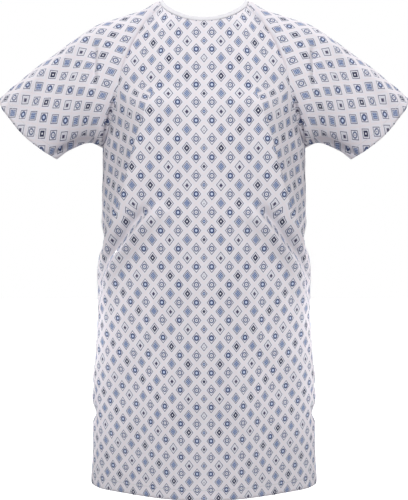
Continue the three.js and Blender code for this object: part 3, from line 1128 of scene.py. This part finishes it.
def binding_sheet():
    """A bias strip folded over the neck edge, from one back edge round the front to the other."""
    open_turn = math.pi - math.asin(BACK_EDGE_TOP / NECK_HALF_WIDTH)
    turn = np.linspace(-open_turn, open_turn, BINDING_COLUMNS + 1)[None, :]
    reach = BINDING_WIDTH + BINDING_OVERLAP
    down = np.linspace(reach, BINDING_RADIUS, BINDING_SIDE_ROWS)
    round_edge = np.linspace(0, math.pi, BINDING_EDGE_ROWS + 2)[1:-1]
    below = np.concatenate([down, BINDING_RADIUS * (1 - np.sin(round_edge)), down[::-1]])[:, None]
    pressed = mix(BINDING_PRESSED, 1, smooth((reach - down) / BINDING_PRESSED_LENGTH))
    proud = np.concatenate([pressed, np.cos(round_edge), -pressed[::-1]])[:, None] * BINDING_RADIUS
    step = 0.001  # for the surface's two directions
    base = neck_point(turn, below)
    round_way = neck_point(turn + step, below) - neck_point(turn - step, below)
    down_way = neck_point(turn, below + step) - neck_point(turn, below - step)
    face = unit(np.cross(down_way, round_way))
    face *= np.sign(np.sum(face * base, axis=-1, keepdims=True))
    pucker = PUCKER * np.sin(turn * PUCKERS_PER_TURN) * (proud > 0)
    place = base + face * (proud + pucker)[..., None]
    along = arc(base, [0, 1, 2])[-1:]
    steps = np.hypot(np.diff(below[:, 0]), np.diff(proud[:, 0]))
    round_strip = np.concatenate([[0], np.cumsum(steps)])[:, None]
    flat = points(along, round_strip)
    edge = points(along, round_strip - BINDING_STITCH)
    middle = base - face * np.sign(proud)[..., None] * 0.01
    turned = slice(BINDING_SIDE_ROWS, BINDING_SIDE_ROWS + BINDING_EDGE_ROWS)
    middle[turned] = base[turned] + [0, 0, -0.02]
    return Sheet(place, middle, flat, flat, edge)


def seam_sheet(line_points, inward):
    """The overlocked allowance behind a seam: a narrow strip standing in from it."""
    depth = np.linspace(SEAM_START, SEAM_END, 4)[:, None, None]
    steps = np.linalg.norm(np.diff(line_points, axis=0), axis=-1)
    along = np.concatenate([[0], np.cumsum(steps)])
    wave = SEAM_WAVE * np.sin(along * 2 * math.pi / SEAM_WAVE_LENGTH)
    tangent = np.gradient(line_points, axis=0)
    sideways = unit(np.cross(tangent, inward))
    place = line_points + inward * depth + sideways * wave[:, None] * (depth / SEAM_END)
    flat = points(depth[..., 0], along)
    no_stitches = flat + [0, 1]  # a metre away from any stitch line
    return Sheet(place, place - sideways, flat, flat, no_stitches)


def raglan_seam(curve, back):
    t = np.linspace(0.03, 0.96, 60)
    line_points = curve(t)
    end, _, _ = torso_row(t, back)
    centre = points(0.35 * end[:, 0], 0, end[:, 2] - 0.04)
    return seam_sheet(line_points, unit(centre - line_points))


def side_seam(front):
    line_points = front.place[TOP_ROWS + 2 : -HEM_ROWS - 1, -1]
    return seam_sheet(line_points, np.array([-1.0, 0, 0]) + 0 * line_points)


def tie_sheet(back, anchor_z, from_centre, phase):
    """A tape sewn on near the back edge, hanging down the back in an easy wave."""
    t = np.linspace(0, 1, 90)[:, None]
    z = anchor_z - TIE_LENGTH * t
    free = smooth((t - 0.05) / 0.15)  # 0 where it is sewn on and 1 where it hangs
    middle_x = from_centre + 0.006 * t + 0.004 * free * np.sin(5.5 * t + phase)  # it drifts out and sways
    turn = free * (0.30 * np.sin(7.0 * t + phase) + 0.12)  # and turns a little about its length
    across = np.linspace(-0.5, 0.5, 9)[None, :] * TIE_WIDTH
    x = middle_x + across * np.cos(turn)

    row = np.interp(-z[:, 0], back.flat[:, 0, 1], np.arange(len(back.flat))).round().astype(int)
    cloth_y = np.array([np.interp(x[i], back.place[r, :, 0], back.place[r, :, 1]) for i, r in enumerate(row)])
    window = np.ones(9) / 9  # smooths out the steps between the cloth's rows
    padded = np.pad(cloth_y.max(axis=1), 4, mode="edge")
    rest_y = np.convolve(padded, window, mode="valid")[:, None]
    tilted = np.abs(np.sin(turn)) * TIE_WIDTH / 2 + across * np.sin(turn)
    hang_y = rest_y + TIE_LIFT + TIE_LIFT * free + tilted
    place = points(x, mix(cloth_y + TIE_SEWN_LIFT, hang_y, free), z)

    flat = points(across, TIE_LENGTH * t)
    from_stitches = np.abs(flat[..., 1] - TIE_STITCHED_AT) - TIE_STITCHED_HALF
    near_top = points(flat[..., 0] + 0.5, from_stitches)
    return Sheet(place, place - [0, 1, 0], flat, flat, near_top)


def finish_tape(sheet, piece, name, part, node, thickness):
    return finish_cloth(sheet, piece, TAPE, name, part, [node], thickness)


def make_trims(front, back):
    binding = binding_sheet()
    obj = finish_tape(binding, "neck_binding_cloth", "", "body", "neck_binding", BINDING_CLOTH)
    declare(binding.flat)
    seams = {
        "raglan_seam_front": raglan_seam(front_raglan, False),
        "raglan_seam_back": raglan_seam(back_raglan, True),
        "side_seam": side_seam(front),
    }
    ties = {
        "neck_tie": tie_sheet(back, NECK_TIE_Z, NECK_TIE_IN, phase=0.4),
        "waist_tie": tie_sheet(back, WAIST_Z, WAIST_TIE_IN, phase=2.2),
    }
    for name, side in SIDES:
        for kind, seam in seams.items():
            node = f"{kind}_{name}"
            strip = seam.mirrored(side)
            piece = f"{node}_overlock"
            finish_cloth(strip, piece, OVERLOCK, name, "body", [node], SEAM_THICKNESS)
        for kind, tie in ties.items():
            node = f"{kind}_{name}"
            obj = finish_tape(tie.mirrored(side), f"{node}_tape", name, "flap", node, TIE_THICKNESS)
            declare(tie.flat)


PRINTED = printed_material("printed_cotton")
TAPE = tape_material("plain_cotton", (0.80, 0.79, 0.82), (0.66, 0.65, 0.70), 0.0011)
OVERLOCK = tape_material("overlock_thread", (0.84, 0.83, 0.86), (0.60, 0.59, 0.64), 0.0022)

make_stage()
FRONT = front_sheet()
BACK = back_sheet(FRONT)
make_panels(FRONT, BACK, sleeve_sheet())
make_trims(FRONT, BACK)
